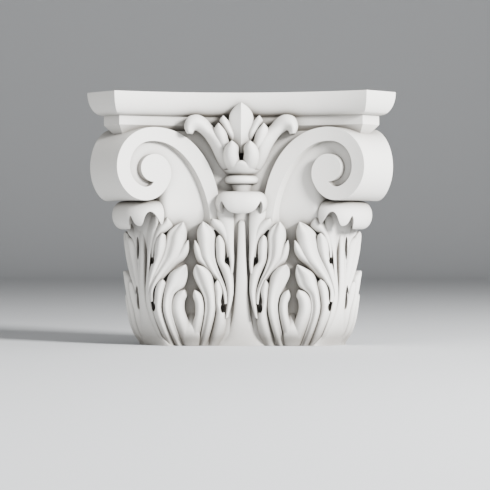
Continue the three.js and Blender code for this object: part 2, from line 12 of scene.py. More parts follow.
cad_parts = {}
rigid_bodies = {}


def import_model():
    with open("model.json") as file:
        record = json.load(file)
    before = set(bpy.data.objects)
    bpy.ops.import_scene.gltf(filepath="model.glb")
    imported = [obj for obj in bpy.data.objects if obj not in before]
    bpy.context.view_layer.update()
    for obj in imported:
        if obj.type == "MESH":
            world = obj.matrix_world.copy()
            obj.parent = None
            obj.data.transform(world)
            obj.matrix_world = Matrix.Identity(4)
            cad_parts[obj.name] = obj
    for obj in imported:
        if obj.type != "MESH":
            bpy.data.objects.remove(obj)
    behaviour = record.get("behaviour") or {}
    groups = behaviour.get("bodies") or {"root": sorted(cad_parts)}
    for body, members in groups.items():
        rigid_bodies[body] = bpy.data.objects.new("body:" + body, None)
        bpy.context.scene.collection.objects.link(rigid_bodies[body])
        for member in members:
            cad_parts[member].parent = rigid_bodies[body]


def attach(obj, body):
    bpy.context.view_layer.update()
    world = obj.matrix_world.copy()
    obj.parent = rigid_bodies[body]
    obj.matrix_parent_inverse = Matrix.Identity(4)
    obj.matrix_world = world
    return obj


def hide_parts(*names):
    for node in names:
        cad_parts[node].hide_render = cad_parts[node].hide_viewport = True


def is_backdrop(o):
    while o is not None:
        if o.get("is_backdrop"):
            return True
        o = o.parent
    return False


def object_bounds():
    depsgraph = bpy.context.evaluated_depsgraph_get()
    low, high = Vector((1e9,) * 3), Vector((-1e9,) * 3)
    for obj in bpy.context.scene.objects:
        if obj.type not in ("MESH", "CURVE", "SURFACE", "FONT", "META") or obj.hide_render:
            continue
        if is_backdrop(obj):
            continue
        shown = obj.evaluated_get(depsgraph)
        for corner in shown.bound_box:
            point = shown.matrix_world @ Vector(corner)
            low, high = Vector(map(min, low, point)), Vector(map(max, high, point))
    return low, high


bl_info = {
    "name": "Corinthian pilaster capital",
    "version": (1, 0, 0),
    "blender": (4, 5, 0),
    "location": "3D View > Sidebar > Capital",
    "description": "Builds a half-relief Corinthian capital with acanthus leaves, volutes and a flower",
    "category": "Add Mesh",
}

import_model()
CAD_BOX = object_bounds()
CAD_LOW, CAD_HIGH = (Vector(corner) for corner in CAD_BOX)

MM = 0.001
WALL_Y = CAD_HIGH.y / MM          # the flat back, in millimetres
ROOT_TWO = math.sqrt(2.0)


# ------------------------------------------------------------------ settings

def length(name, description, millimetres):
    """A length setting, given in millimetres and kept in metres"""
    return bpy.props.FloatProperty(
        name=name,
        description=description,
        default=millimetres * MM,
        min=0.0,
        unit="LENGTH",
        subtype="DISTANCE",
    )


def colour(name, description, hex_colour):
    """A colour setting as an sRGB hex value"""
    return bpy.props.StringProperty(name=name, description=description, default=hex_colour)


class CapitalSizes(bpy.types.PropertyGroup):
    """Driving dimensions of the casting"""

    height: length("Height", "Underside to the top of the abacus", (CAD_HIGH.z - CAD_LOW.z) / MM)
    neck_width: length("Neck width", "Width of the pilaster shaft under the capital", 200.0)
    neck_depth: length("Neck depth", "How far the shaft stands out from the wall", 28.0)
    horn_reach: length("Horn reach", "Abacus horn face, out along the mitre from the wall", 84.6)
    abacus_depth: length("Abacus depth", "Abacus depth at the middle of its hollow front", 43.5)
    abacus_radius: length("Abacus radius", "Radius of the hollow front of the abacus", 242.0)
    eye_radius: length("Eye radius", "Radius of the eye of the volute", 13.2)
    volute_radius: length("Volute radius", "Eye centre to the top of the outer edge", 38.6)
    band_width: length("Band width", "Width of the spiral band", 13.2)
    band_relief: length("Band relief", "How far the band stands above the field inside it", 6.0)
    lobe_root: length("Lobe root", "How deep the back of a leaf lobe is buried", 12.0)
    lobe_steps: bpy.props.IntProperty(
        name="Lobe steps",
        description="Cross-sections along a leaf lobe",
        default=34,
        min=4,
    )
    lobe_sides: bpy.props.IntProperty(
        name="Lobe sides",
        description="Facets across a leaf lobe",
        default=18,
        min=4,
    )


class PlasterFinish(bpy.types.PropertyGroup):
    """Colours and grain of the plaster, and the painted shade in its hollows"""

    coat: colour("Coat", "sRGB hex of the primed surface", "E6E4DF")
    # Hollow: painted shade, not a colour the plaster has; this darker colour is mixed into the coat wherever
    # ambient occlusion finds a hollow, standing in for the shade that falls there
    hollow: colour("Hollow", "sRGB hex of the coat where it lies thick in hollows", "6B665F")
    roughness: bpy.props.FloatProperty(
        name="Roughness",
        description="Roughness of the matt coat",
        default=0.62,
        min=0.0,
        max=1.0,
        subtype="FACTOR",
    )
    # How far the ambient occlusion looks for nearby surfaces when it paints shade into the hollows
    shade_reach: length("Gather", "How far from a wall the coat still gathers in a hollow", 45.0)
    grain: length("Grain", "Size of the grain of the set plaster", 0.9)
    mottle: length("Mottle", "Size of the faint cloudy patches in the coat", 38.0)
    edge: length("Edge", "Radius worn onto the arrises", 0.7)


class StageSettings(bpy.types.PropertyGroup):
    """Floor, backdrop, lights and camera"""

    floor: colour("Floor", "sRGB hex of the floor and backdrop", "C9CBCD")
    distance: length("Camera distance", "Camera to the flat back of the capital", 1845.0)
    span: length("View width", "Width seen at the flat back of the capital", 475.8)
    turn: bpy.props.FloatProperty(
        name="Camera turn",
        description="How far the camera stands round to the right",
        default=math.radians(1.4),
        subtype="ANGLE",
        unit="ROTATION",
    )
    eye_height: length("Eye height", "Height of the camera above the floor", 96.6)
    eye_side: length("Eye side", "How far right of the centre line the camera aims", 2.5)


# ------------------------------------------------------------------ small tools

def mix(a, b, t):
    return a + (b - a) * t


def smooth(t):
    s = np.clip(t, 0.0, 1.0)
    return s * s * (3.0 - 2.0 * s)


def soft_min(a, b, width):
    """The lower of two heights, with the crease between them rounded over width"""
    h = np.maximum(width - np.abs(a - b), 0.0) / width
    return np.minimum(a, b) - h * h * width * 0.25


class Profile:
    """A smooth curve through (position, value) knots, level beyond its ends"""

    def __init__(self, knots, free_ends=False):
        self.at, self.value = np.array(knots, float).T
        slope = np.zeros_like(self.at)
        slope[1:-1] = (self.value[2:] - self.value[:-2]) / (self.at[2:] - self.at[:-2])
        if free_ends:
            chord = np.diff(self.value) / np.diff(self.at)
            slope[0] = 1.5 * chord[0] - 0.5 * slope[1]
            slope[-1] = 1.5 * chord[-1] - 0.5 * slope[-2]
        self.slope = slope

    def __call__(self, position):
        p = np.clip(position, self.at[0], self.at[-1])
        i = np.clip(np.searchsorted(self.at, p, side="right") - 1, 0, len(self.at) - 2)
        width = self.at[i + 1] - self.at[i]
        rise = self.value[i + 1] - self.value[i]
        t = (p - self.at[i]) / width
        a = self.slope[i] * width - rise
        b = rise - self.slope[i + 1] * width
        return mix(self.value[i], self.value[i + 1], t) + t * (1 - t) * (a * (1 - t) + b * t)


def sizes():
    """The driving dimensions in millimetres"""
    props = bpy.context.scene.capital_sizes
    values = {name: getattr(props, name) for name in CapitalSizes.__annotations__}
    return SimpleNamespace(**{k: v if isinstance(v, int) else v / MM for k, v in values.items()})


def front(x, depth, z):
    """A point across the front and forward of the flat back"""
    return np.stack(np.broadcast_arrays(x, -np.asarray(depth, float), z), axis=-1).astype(float)


def corner_of(size):
    """Where the mitre plane of the right corner meets the wall"""
    return size.neck_width / 2.0 - size.neck_depth


def corner_placer(size):
    """Places a point across the mitre plane, out along it, and up"""
    start = corner_of(size)

    def place(across, out, z):
        return front(start + (out - across) / ROOT_TWO, (out + across) / ROOT_TWO, z)

    return place


def mitred(points, size):
    """The mirror image in the mitre plane of the right corner"""
    start = corner_of(size)
    x, y, z = np.moveaxis(points, -1, 0)
    return np.stack((start - y, start - x, z), axis=-1)


def flipped(points):
    return points * (-1.0, 1.0, 1.0)


# ------------------------------------------------------------------ closed meshes and booleans

def loft(rings):
    """A closed mesh through rings of points, as (points, faces)"""
    rings = np.asarray(rings, float)
    count, sides = rings.shape[:2]
    faces = []
    for r in range(count - 1):
        for i in range(sides):
            a = r * sides + i
            b = r * sides + (i + 1) % sides
            faces.append((a, b, b + sides, a + sides))
    faces.append(tuple(reversed(range(sides))))
    faces.append(tuple(range((count - 1) * sides, count * sides)))
    return rings.reshape(-1, 3), faces


def as_object(name, shape, collection=None):
    """A Blender object of a closed mesh, with its faces turned outward"""
    points, faces = shape
    mesh = bpy.data.meshes.new(name)
    mesh.from_pydata(points.tolist(), [], faces)
    work = bmesh.new()
    work.from_mesh(mesh)
    bmesh.ops.triangulate(work, faces=[f for f in work.faces if len(f.verts) > 4])
    if work.calc_volume(signed=True) < 0.0:
        bmesh.ops.reverse_faces(work, faces=work.faces)
    work.to_mesh(mesh)
    work.free()
    obj = bpy.data.objects.new(name, mesh)
    (collection or bpy.context.scene.collection).objects.link(obj)
    return obj


def discard(obj):
    """Removes an object and its mesh"""
    mesh = obj.data
    bpy.data.objects.remove(obj)
    bpy.data.meshes.remove(mesh)


def combined(name, shapes, operation="UNION", base=None):
    """One object from many closed meshes: all joined, cut away from a base, or kept inside it"""
    tools = bpy.data.collections.new("tools")
    bpy.context.scene.collection.children.link(tools)
    shapes = list(shapes)
    if base is None:
        base = as_object(name, shapes.pop(0))
    for i, shape in enumerate(shapes):
        as_object(f"tool_{i}", shape, tools)
    modifier = base.modifiers.new("join", "BOOLEAN")
    modifier.operation = operation
    modifier.operand_type = "COLLECTION"
    modifier.collection = tools
    modifier.solver = "MANIFOLD"
    depsgraph = bpy.context.evaluated_depsgraph_get()
    mesh = bpy.data.meshes.new_from_object(base.evaluated_get(depsgraph))
    for used in [*tools.objects, base]:
        discard(used)
    bpy.data.collections.remove(tools)
    if not mesh.polygons:
        raise RuntimeError(f"{name}: the meshes did not combine")
    mesh.name = name
    result = bpy.data.objects.new(name, mesh)
    bpy.context.scene.collection.objects.link(result)
    return result


def shape_of(obj):
    """The points and faces of an object, which is then removed"""
    mesh = obj.data
    points = np.empty(len(mesh.vertices) * 3)
    mesh.vertices.foreach_get("co", points)
    faces = [tuple(p.vertices) for p in mesh.polygons]
    discard(obj)
    return points.reshape(-1, 3), faces


def outer_skin(mesh):
    """Keeps only the largest connected skin, so pockets shut in between lobes are filled"""
    work = bmesh.new()
    work.from_mesh(mesh)
    work.verts.ensure_lookup_table()
    seen = np.zeros(len(work.verts), bool)
    skins = []
    for start in work.verts:
        if seen[start.index]:
            continue
        seen[start.index] = True
        skin = [start]
        for vert in skin:
            for edge in vert.link_edges:
                other = edge.other_vert(vert)
                if not seen[other.index]:
                    seen[other.index] = True
                    skin.append(other)
        skins.append(skin)
    skins.sort(key=len)
    for skin in skins[:-1]:
        bmesh.ops.delete(work, geom=skin, context="VERTS")
    work.to_mesh(mesh)
    work.free()


# ------------------------------------------------------------------ abacus

ABACUS_PROFILE = {
    "ovolo_height": 20.7,
    "ovolo_inset": 11.2,
    "fillet_inset": 12.2,
    "fillet_top": 219.3,
    "fillet_bottom": 210.3,
    "soffit_inset": 19.4,
    "soffit_bottom": 201.7,
    "horn_share": 1.08,
}


def abacus_plan(inset, size):
    """The plan of the abacus pulled in by inset, with hollow sides and blunt horns"""
    radius = size.abacus_radius + inset
    centre = size.abacus_depth + size.abacus_radius
    start = corner_of(size)

    def depth_at(x):
        return centre - np.sqrt(radius * radius - np.square(x))

    reach = (size.horn_reach - inset * ABACUS_PROFILE["horn_share"]) * ROOT_TWO + start
    horn = 118.0
    for _ in range(40):
        horn = reach - depth_at(horn)
    face = np.concatenate((np.linspace(0.0, start, 13), np.linspace(start, horn, 9)[1:]))
    half = front(face, depth_at(face), 0.0)
    side = mitred(half[12:], size)[::-1]
    right = np.concatenate((half, side))
    return np.concatenate((right, flipped(right[1:])[::-1]))


def abacus(size):
    p = ABACUS_PROFILE
    levels = [
        (p["soffit_bottom"], p["soffit_inset"]),
        (p["fillet_bottom"], p["fillet_inset"]),
        (p["fillet_top"], p["fillet_inset"]),
    ]
    for turn in np.linspace(math.pi / 2, 0.0, 14):
        z = size.height - 1.0 - p["ovolo_height"] * math.sin(turn)
        levels.append((z, p["ovolo_inset"] * (1 - math.cos(turn))))
    levels.append((size.height, 0.0))
    rings = []
    for z, inset in levels:
        ring = abacus_plan(inset, size)
        ring[:, 2] = z
        rings.append(ring)
    return loft(rings)


# ------------------------------------------------------------------ bell

FACE_DEPTH = 35.5         # volute face at the centre line
FACE_SPREAD = 370.0       # the face comes forward by x * x / FACE_SPREAD
FACE_FOOT = 108.0         # the volutes' stalks end here, behind the leaf tips

BELL_CORNER = Profile([(0, 20), (15, 26), (40, 28.5), (110, 29), (130, 33), (205, 34)])
BELL_HOLLOW = Profile([(0, 0), (100, 0), (130, 1)])


def bell(size):
    field = FACE_DEPTH - size.band_relief
    depth = Profile([(0, 24.5), (15, 27), (60, 27), (110, 28), (130, field)])
    start = corner_of(size)
    xs = np.concatenate((np.arange(0.0, 60.0, 6.0), np.linspace(60.0, 84.0, 13)))
    rings = []
    for z in np.concatenate((np.linspace(0, 130, 22), np.linspace(136, 205, 8))):
        face = depth(z) + BELL_HOLLOW(z) * xs * xs / FACE_SPREAD
        slope = BELL_CORNER(z) * ROOT_TWO - (xs - start)
        ahead = np.maximum(soft_min(face, slope, 8.0), xs - start)
        half = front(xs, ahead, z)
        side = mitred(half[::-1], size)
        side[:, 1] = np.minimum(side[:, 1], 6.0)
        right = np.concatenate((half, side))
        rings.append(np.concatenate((right, flipped(right[1:])[::-1])))
    return loft(rings)


# ------------------------------------------------------------------ leaf lobes

LEAF_DEPTH = Profile([(0, 26), (12, 30.5), (27, 33.5), (50, 34.5), (75, 34), (95, 35.5), (125, 37)])
LEAF_CORNER = Profile([(0, 22.5), (12, 28), (27, 32), (54, 35.5), (90, 35), (125, 35)])


def leaf_ground(size):
    """Depth of the ground that the leaf lobes rise from, rounded over the corner"""
    start = corner_of(size)

    def depth(x, z):
        return soft_min(LEAF_DEPTH(z), (LEAF_CORNER(z) - 2.0) * ROOT_TWO - (x - start), 6.0)

    return depth


def lobe(size, stations, ground, place=front, lean=0.0, fold=0.0, fold_at=0.0, dome=1.8, plump=0.5):
    """A swelling lobe between two edges: stations are (edge across, height, edge across, height, lift)

    lean moves the crest from the middle toward the second edge. fold is the depth of a
    channel along the lobe, at fold_at across it. dome is the power of the cross-section and
    plump how far its edges fall below the crest, as a share of the half width.
    """
    ax, az, bx, bz, lift = np.array(stations, float).T
    mid = np.stack(((ax + bx) / 2, (az + bz) / 2), axis=-1)
    knots = np.concatenate(([0.0], np.cumsum(np.hypot(*np.diff(mid, axis=0).T))))
    s = knots[-1] * (1.0 - (1.0 - np.linspace(0.0, 0.985, size.lobe_steps + 1)) ** 1.6)
    ax, az, bx, bz, lift = (
        Profile(list(zip(knots, column)), free_ends=True)(s)[:, None] for column in (ax, az, bx, bz, lift)
    )
    t = np.sin(np.linspace(-math.pi / 2, math.pi / 2, size.lobe_sides + 1))[None, :]
    px = mix(ax, bx, (1 + t) / 2)
    pz = np.maximum(mix(az, bz, (1 + t) / 2), 0.0)
    half = np.hypot(bx - ax, bz - az) / 2
    away = np.where(t > lean, (t - lean) / (1 - lean), (lean - t) / (1 + lean))
    rim = np.clip(plump * half + 0.8, 1.0, 5.5)
    tip = np.clip(1 - (knots[-1] - s) / 3.0, 0.0, 1.0)[:, None]
    arris = 1.0 - np.sqrt(np.clip(1.0 - np.abs(t) ** 9, 0.0, 1.0))
    channel = fold * np.exp(-(((t - fold_at) / 0.25) ** 2)) * smooth(half / 4.0)
    depth = ground(px, pz) + lift - rim * away ** dome - 0.9 * arris - 1.2 * tip ** 2 - channel
    shell = place(px, depth, pz)
    back_x, back_z = px[:, [-1, 0]], pz[:, [-1, 0]]
    back = place(back_x, ground(back_x, back_z) - size.lobe_root, back_z)
    return loft(np.concatenate((shell, back), axis=1))


# Lobes of the middle leaf, right half
MIDDLE_LOBES = [
    # lower row: main lobe, finger beside the stem, arm of the cleft lobe
    {
        "stations": [
            (42.6, -1, 34, -1, 2), (37.8, 18.4, 28.3, 18.4, 4.5), (35.3, 35, 24.8, 35, 5.5),
            (36, 46, 25, 47.5, 6), (41.2, 57, 26.6, 61, 7), (45.6, 67, 29, 69, 8.5),
            (45.5, 73.5, 35, 75.3, 9.5), (42.8, 78, 42.6, 78, 10),
        ],
        "lean": 0.3,
        "fold": 1.2,
        "fold_at": -0.45,
    },
    {
        "stations": [
            (33.7, -1, 21, -1, 1), (27.8, 18.4, 15.5, 17.5, 3), (24.6, 33, 15.5, 30, 4),
            (24.6, 41.5, 19.6, 41.5, 4.5), (25.5, 52, 18.3, 52, 5), (26, 59, 20, 59.4, 5),
            (23, 63.5, 22.7, 63.5, 5),
        ],
    },
    {
        "stations": [
            (42.8, -1, 48.4, -1, 2.6), (40, 11, 48.6, 11, 4.2), (37.6, 22, 46.8, 21.5, 5.2),
            (36, 33, 44.2, 31, 6), (36.2, 41.5, 44.2, 41, 6.5), (38.8, 50, 46.4, 48, 7),
            (44.6, 54, 44.9, 53.8, 7),
        ],
    },
    # upper row: main lobe, its shoulder, finger beside the stem, small tip under the curl
    {
        "stations": [
            (16.4, 40, 13.5, 41, 2.5), (18.4, 53, 14.2, 52, 3), (23.7, 64, 17.3, 62, 3.5),
            (31, 72, 22.3, 74, 4.5), (38.3, 83, 25.1, 85, 5.5), (41, 94, 25.5, 96, 6.5),
            (42.4, 104, 25, 106, 7), (41.5, 112, 29, 113.5, 7), (36.6, 119, 36.2, 119, 6.5),
        ],
        "fold": 1.6,
        "fold_at": 0.45,
        "lean": -0.1,
    },
    {
        "stations": [
            (24, 62, 19, 64, 1), (35.5, 74, 29, 77.5, 3), (42.1, 81, 35.5, 85.7, 4),
            (45.3, 92, 39, 94, 5), (44.5, 101.5, 44.1, 101.3, 5),
        ],
    },
    {
        "stations": [
            (16, 26, 12.5, 28, 2.5), (13.6, 48, 8.1, 48, 3), (15.5, 61, 7.7, 61, 3.2),
            (19.6, 72, 9.4, 73, 3.6), (23.3, 81, 15.5, 81, 4), (24.4, 90, 15.6, 90, 4.6),
            (24.6, 99, 16.2, 98.4, 5), (23.5, 104, 18.7, 104, 5), (21.3, 106, 20.9, 106, 5),
        ],
    },
    {
        "stations": [
            (13.7, 84, 11, 88, 1), (17, 100, 11, 101, 2), (23, 109, 12.8, 112, 3.5),
            (29, 115.5, 18, 119, 5), (27.7, 122, 27.3, 122, 5),
        ],
    },
    {
        "stations": [
            (11.2, 68, 8.2, 70, 2), (11.4, 81, 7.2, 81, 2.8), (14.5, 95, 7.4, 95, 2.6),
            (19, 110, 7.2, 110, 2.6), (23, 124, 7, 124, 4), (22, 136, 8, 136, 4),
        ],
        "plump": 0.2,
    },
]

# Lobes of the corner leaf, the half in front of the mitre plane
CORNER_LOBES = [
    # lower row: main lobe, finger beside the stem, arm of the cleft lobe
    {
        "stations": [
            (63, -1, 55.2, -1, 2), (70.5, 18.4, 62.3, 18.4, 4.5), (74.9, 35, 66, 35, 5.5),
            (74.2, 48.5, 64, 49.5, 6), (71.9, 61, 55.1, 56.5, 7), (67.8, 70, 51.6, 66.5, 8.5),
            (59.2, 75.5, 51.6, 73, 9.5), (53.2, 78, 52.8, 77.8, 10),
        ],
        "lean": -0.3,
        "fold": 1.2,
        "fold_at": 0.45,
    },
    {
        "stations": [
            (71.6, -1, 63, -1, 1), (80.3, 19.4, 70.5, 19.4, 3), (84.8, 34, 75.1, 35, 4),
            (83.2, 45, 75.1, 45, 4.5), (82.3, 54, 73.3, 54, 5), (79.6, 60.7, 72, 60.3, 5),
            (75.5, 64, 75.1, 64, 5),
        ],
    },
    {
        "stations": [
            (55.1, -1, 48, -1, 2.6), (61, 13, 47.8, 12, 4.2), (65.1, 24, 50, 22, 5.2),
            (66.8, 35, 54.2, 34.5, 6), (65.5, 45, 54, 43.5, 6.5), (61, 51.6, 52.2, 48.4, 7),
            (54.4, 54, 54, 53.8, 7),
        ],
    },
    # upper row: main lobe, its shoulder, finger beside the stem, small tip under the curl
    {
        "stations": [
            (88.3, 42, 83.7, 43, 2.5), (88.1, 55, 83.5, 55, 3), (85.1, 66, 77.3, 63, 3.5),
            (80.1, 76, 69.2, 72.5, 4.5), (75.1, 88.5, 60, 81, 5.5), (72.8, 99, 53.8, 94, 6.5),
            (70.5, 108, 52.3, 105, 7), (63.7, 114.5, 52.3, 111, 7), (55.2, 118.8, 54.8, 118.6, 6.5),
        ],
        "fold": 1.6,
        "fold_at": -0.45,
        "lean": 0.1,
    },
    {
        "stations": [
            (81, 66, 75, 63.5, 1), (71, 80, 61.9, 76.5, 3), (62.5, 88.5, 54.6, 83, 4),
            (57, 95, 50.3, 91, 5), (50.8, 101.3, 50.4, 101, 5),
        ],
    },
    {
        "stations": [
            (91.4, 46, 88.5, 46, 2), (91.2, 54, 87.5, 54, 2.5), (89.6, 65, 84.5, 64, 3),
            (86.9, 76.6, 79.2, 75.7, 3.6), (83.5, 85, 75.1, 85, 4), (83, 94, 72.3, 94, 5.2),
            (81, 102, 71.9, 103, 6), (77.8, 106.3, 72.8, 106.3, 6.5), (75.6, 108, 75.2, 108, 6.5),
        ],
    },
    {
        "stations": [
            (86, 78, 83.5, 84, 1), (86.4, 94, 81.9, 96, 2), (83.7, 107.5, 76.4, 106, 3.5),
            (80.1, 115.7, 69.2, 111, 5), (75.5, 121, 65.5, 115.5, 5), (70.6, 123, 70.2, 123, 5),
        ],
    },
    {
        "stations": [
            (77.3, -1, 71.4, -1, 0.5), (86, 20, 80.1, 19.4, 1.5), (91.2, 37.5, 85, 35, 2),
            (92.3, 53, 88, 52, 2), (91, 71, 88, 68.4, 2), (90.5, 88.4, 86.7, 88.4, 2),
            (91, 103, 82.5, 103, 2.4), (91.5, 114, 79.2, 114, 3.5), (91.5, 126, 80, 126, 4),
        ],
        "plump": 0.25,
    },
]

SIDE_SQUEEZE = 0.5         # the half leaf on the flank is drawn in toward the corner stem by this
SIDE_DROOP = 0.0018        # and hangs lower, by this share of its height a millimetre from the stem
STEM_LINE = 97.0           # the corner stem's place across the front


def side_lobe(shape):
    """A lobe of the corner leaf as it is drawn on the narrow flank"""
    def across(x):
        return STEM_LINE - (STEM_LINE - x) * SIDE_SQUEEZE

    def height(x, z):
        return z * (1 - SIDE_DROOP * (STEM_LINE - x))

    stations = [
        (across(a), height(a, az), across(b), height(b, bz), lift)
        for a, az, b, bz, lift in shape["stations"]
    ]
    return {**shape, "stations": stations}


# The cleft lobe below its hollow, where both its arms meet
CLEFT_LOBE = {
    "stations": [
        (41.5, -1, 54.5, -1, 3), (40, 9, 56.5, 9, 4.6), (41, 15, 55, 15, 4.4),
        (42.5, 19, 53.5, 19, 2.8), (43.5, 23, 52.5, 23, 0), (44, 28, 52, 28, -4),
        (44.5, 34, 51.5, 34, -9),
    ],
    "plump": 0.05,
}

# Drilled eyes between the fingers and the stem strips: across, height, half width, half height
MIDDLE_EYES = [(14.2, 81.8, 2.1, 3.4), (17.8, 36.4, 2.3, 4.6)]
CORNER_EYES = [(85.2, 81.8, 2.1, 3.5), (84.0, 37.2, 1.9, 4.2)]
FLANK_EYES = [(-5.6, 93, 1.9, 12), (-6.0, 46, 2.1, 12)]     # across the mitre plane


def eye(across, up, wide, high, place=front):
    """A drill that narrows as it goes in"""
    turns = np.linspace(0.0, 2 * math.pi, 24, endpoint=False)
    rings = []
    for depth, share in ((60.0, 1.5), (42.0, 1.05), (36.0, 1.0), (30.0, 0.9), (27.0, 0.7), (25.0, 0.25)):
        rings.append(place(across + wide * share * np.cos(turns), depth, up + high * share * np.sin(turns)))
    return loft(rings)


# ------------------------------------------------------------------ stems

STEM_DEPTH = Profile([(0, 27.5), (30, 31.5), (60, 34.5), (120, 36.5)])
MIDDLE_STEM = [
    (-3, 26), (6, 16.5), (22, 10.5), (34, 8.2), (55, 6), (80, 4.6), (100, 3.8), (113, 3.5), (118, 3.3),
    (120, 2.2), (120.4, 0.8),
]
CORNER_STEM = [
    (-3, 24), (7, 18), (15, 13), (24, 9), (39, 5), (57, 4), (76, 3.4), (94, 3), (109, 3), (113.5, 2.8),
    (115, 1.8), (115.4, 0.6),
]


def stem(size, widths, ground, place=front):
    """A stem that flares to the foot of the capital: widths are (height, half width)"""
    stations = [(-half, z, half, z, 0.0) for z, half in widths]
    return lobe(size, stations, ground, place, dome=2.4, plump=0.12)


# ------------------------------------------------------------------ curled leaf tops

# Each roll's place and size, the (height, depth) of the foot of the solid behind it, and its lip
CORNER_CURL = {
    "out": 33.0,
    "wide": 21.0,
    "forward": 15.0,
    "top": 138.8,
    "foot": (84.0, 28.0),
    "drop": 13.6,
    "roll": 10.5,
    "tips": [
        (-90, -40), (-76, -30), (-66, -8), (-60, -20), (-52, -60), (-40, -82), (-8, -86), (4, -78),
        (11, -54), (15, -22), (19, -4), (23, -16), (28, -40), (34, -50), (41, -50), (47, -34), (52, -6),
        (58, 10), (66, 12), (74, -2), (82, -26), (90, -44),
    ],
}

MIDDLE_CURL = {
    "out": 36.0,
    "wide": 16.0,
    "forward": 9.0,
    "top": 147.4,
    "foot": (76.0, 26.0),
    "drop": 11.0,
    "roll": 9.0,
    "tips": [
        (-90, -88), (-76, -80), (-66, -45), (-58, 0), (-52, 8), (-46, -8), (-34, -40), (-18, -60),
        (0, -66), (18, -60), (34, -40), (46, -8), (52, 8), (58, 0), (66, -45), (76, -80), (90, -88),
    ],
}


def curl(place, leaf_top, thick=4.5):
    """The top of a leaf, rolled outward round a rounded plan

    tips gives how far down the lip comes, in degrees round the roll, at each turn of the
    plan: 0 is the tongue, and -90 and 90 the two sides of the leaf.
    """
    out, wide, forward = leaf_top["out"], leaf_top["wide"], leaf_top["forward"]
    top, drop, roll = leaf_top["top"], leaf_top["drop"], leaf_top["roll"]
    tip_at = Profile(leaf_top["tips"])
    centre = top - drop
    rings = []
    for turn in np.linspace(-90.0, 90.0, 121):
        a = math.radians(turn)
        along = math.copysign(abs(math.sin(a)) ** 0.85, a)
        ahead = abs(math.cos(a)) ** 0.85
        normal = np.array((math.sin(a) * forward, math.cos(a) * wide))
        normal /= np.hypot(*normal)
        last = math.radians(float(tip_at(turn)))
        outside = np.linspace(math.radians(110), last, 22)
        inside = np.linspace(last + 0.07, math.radians(110), 16)
        reach = np.concatenate((
            (-roll - 4, -roll - 4),
            roll * np.cos(outside),
            (roll - thick) * np.cos(inside),
        ))
        z = np.concatenate((
            (top - 5.5, top - 1.0),
            centre + drop * np.sin(outside),
            centre + (drop - thick) * np.sin(inside),
        ))
        rings.append(place(along * wide + normal[0] * reach, out + ahead * forward + normal[1] * reach, z))
    return loft(rings)


def leaf_back(place, leaf_top):
    """Solid behind a curled top, narrowing downward into the leaf"""
    wide, forward = leaf_top["wide"], leaf_top["forward"]
    foot, foot_out = leaf_top["foot"]
    turns = np.linspace(-math.pi / 2, math.pi / 2, 17)
    rings = []
    for s in np.linspace(0.0, 1.0, 9):
        z = mix(foot, leaf_top["top"] - 2.0, s)
        grow = mix(0.8, 1.0, s)
        ahead = mix(foot_out, leaf_top["out"] + forward - 6.0, s)
        face = place(wide * grow * np.sin(turns), ahead - wide * 0.35 * (1 - np.cos(turns)), z)
        back = place(np.array((wide * 0.8, -wide * 0.8)), 8.0, z)
        rings.append(np.concatenate((face, back)))
    return loft(rings)


# ------------------------------------------------------------------ corner volutes

EYE_OUT = 44.2            # eye of the volute, out along the mitre plane
EYE_HEIGHT = 169.4


def sweep(turns, radius):
    """Points round the eye at a radius for each turn, 0 being straight up"""
    return np.stack((EYE_OUT + radius * np.sin(turns), EYE_HEIGHT + radius * np.cos(turns)), axis=-1)


# Radii of the band's edges by turns from straight up, as shares of the volute radius
OUTER_EDGE = Profile([
    (0, 1), (0.1, 0.988), (0.2, 0.97), (0.27, 0.957), (0.33, 0.932), (0.4, 0.893), (0.45, 0.834),
    (0.5, 0.748), (0.54, 0.655), (0.6, 0.524), (0.68, 0.422), (0.74, 0.376), (0.82, 0.342), (1, 0.342),
])
INNER_EDGE = Profile([
    (0, 0.66), (0.06, 0.672), (0.12, 0.662), (0.2, 0.635), (0.3, 0.606), (0.39, 0.554), (0.43, 0.513),
    (0.47, 0.425), (0.49, 0.342),
])


def outer_radius(turns, size):
    """Outer edge of the band: a wide sweep that tightens under the volute into the eye"""
    return size.volute_radius * OUTER_EDGE(turns / (2 * math.pi))


def inner_radius(turns, size):
    """Inner edge of the band, which meets the eye half a turn from the top"""
    return np.maximum(size.volute_radius * INNER_EDGE(turns / (2 * math.pi)), size.eye_radius)


def bezier(a, b, c, d, steps):
    t = np.linspace(0.0, 1.0, steps)[:, None]
    a, b, c, d = (np.array(p, float) for p in (a, b, c, d))
    return a * (1 - t) ** 3 + 3 * b * t * (1 - t) ** 2 + 3 * c * t * t * (1 - t) + d * t ** 3


def across_mitre(outline, size, reach=90.0):
    """A prism across the mitre plane over an outline given out along the plane and up"""
    place = corner_placer(size)
    return loft([place(np.full(len(outline), v), outline[:, 0], outline[:, 1]) for v in (-reach, reach)])


def face_plan(set_back, size):
    """A slab over the plan of the two volute faces, which meet the mitre plane at the corner"""
    x = np.linspace(-30.0, 120.0, 51)
    half = front(x, FACE_DEPTH - set_back + x * x / FACE_SPREAD, 0.0)
    plan = np.concatenate((half, mitred(half, size)[::-1]))
    return loft([plan + (0.0, 0.0, z) for z in (FACE_FOOT - 4.0, 215.0)])


